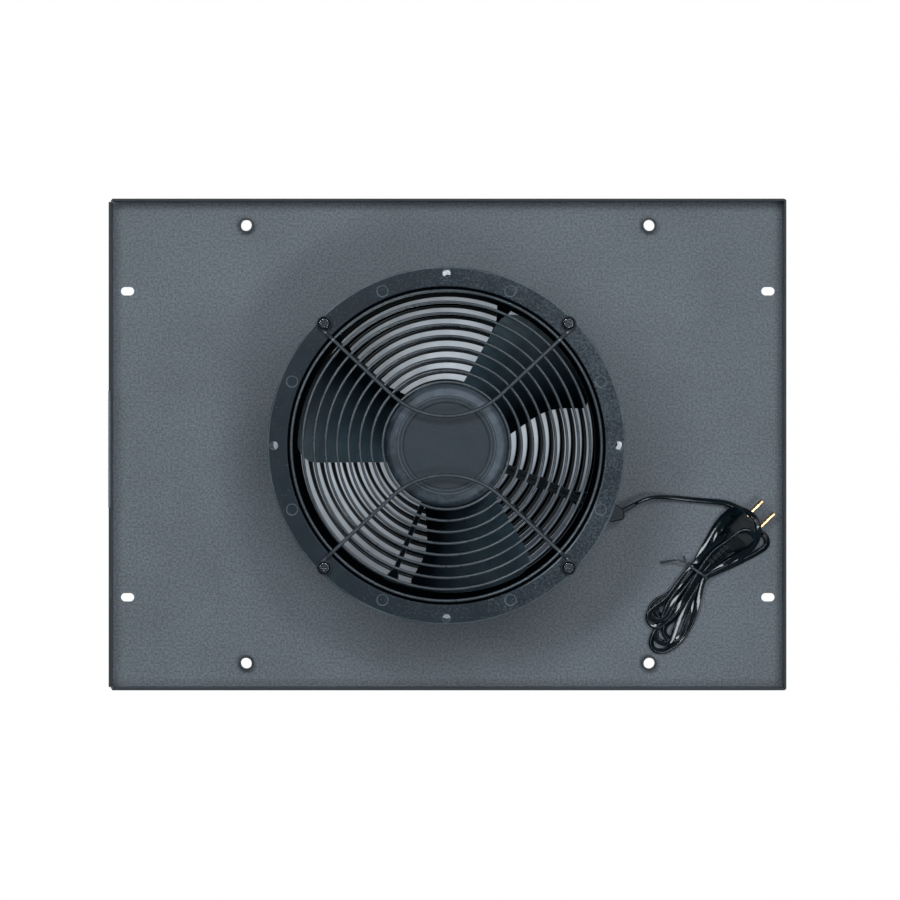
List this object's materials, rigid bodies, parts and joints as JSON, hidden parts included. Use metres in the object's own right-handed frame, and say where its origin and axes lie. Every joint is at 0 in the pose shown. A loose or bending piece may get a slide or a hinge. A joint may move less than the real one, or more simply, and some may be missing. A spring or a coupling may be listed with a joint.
{
  "type": "rack fan panel",
  "caption": "Flat rack fan panel with folded edges, one large axial mains fan with a wire guard on each face, and its mains cord wound into a tied hank on the inner face.",
  "frame": {"origin": "centre of the panel's outer face, on the fan's axis, which is also the centre of the rack slots", "axes": "+X along the panel's length, +Y up the panel's height, +Z into the rack, towards the fan's intake side"},
  "size_m": [0.489, 0.3548, 0.1041],
  "materials": {
    "panel_paint": "textured bluish dark grey powder coat",
    "black_nylon": "black moulded nylon",
    "housing_black": "black moulded plastic, satin",
    "cast_aluminium": "die cast",
    "black_screws": "black oxide",
    "bearing_steel": "ground steel",
    "lamination_steel": "stacked steel sheet",
    "copper_winding": "enamelled copper wire",
    "spring_steel": "dark spring steel",
    "pressed_steel": "pressed steel",
    "impeller_black": "black moulded plastic",
    "guard_black": "black coated wire",
    "zinc": "bright zinc plate",
    "plated_brass": "plated brass",
    "cord_black": "glossy black PVC",
    "lead_red": "PVC insulation",
    "tie_black": "black plastic tie",
    "plug_brass": "bare brass"
  },
  "bodies": {
    "frame": {"panel": "panel_paint", "mounting_sleeves": "black_nylon", "fan_housing": "housing_black", "motor_bracket": "cast_aluminium", "bracket_screws": "black_screws", "rear_bearing": "bearing_steel", "front_bearing": "bearing_steel", "preload_washer": "bearing_steel", "motor_end_cap": "black_nylon", "stator_core": "lamination_steel", "stator_windings": "copper_winding", "intake_guard_rings": "guard_black", "intake_guard_stays": "guard_black", "exhaust_guard_rings": "guard_black", "exhaust_guard_stays": "guard_black", "intake_guard_screws": "black_screws", "exhaust_guard_screws": "black_screws", "exhaust_guard_nuts": "zinc", "fan_mount_screws": "black_screws", "fan_mount_washers": "zinc", "fan_mount_nuts": "zinc", "terminal_block": "black_nylon", "terminal_blades": "plated_brass", "cord_connector": "cord_black", "motor_leads": "lead_red", "lead_clip": "black_nylon", "cord_lead": "cord_black", "cord_hank": "cord_black", "hank_tie": "tie_black", "plug_body": "cord_black", "plug_blades": "plug_brass"},
    "rotor": {"impeller": "impeller_black", "rotor_cup": "pressed_steel", "rotor_cage": "cast_aluminium", "shaft": "bearing_steel", "circlip": "spring_steel"}
  },
  "joints": [
    {"name": "fan_spin", "type": "hinge", "parent": "frame", "child": "rotor", "pos_m": [0, 0, 0.04], "axis": [0, 0, 1], "continuous": true}
  ]
}
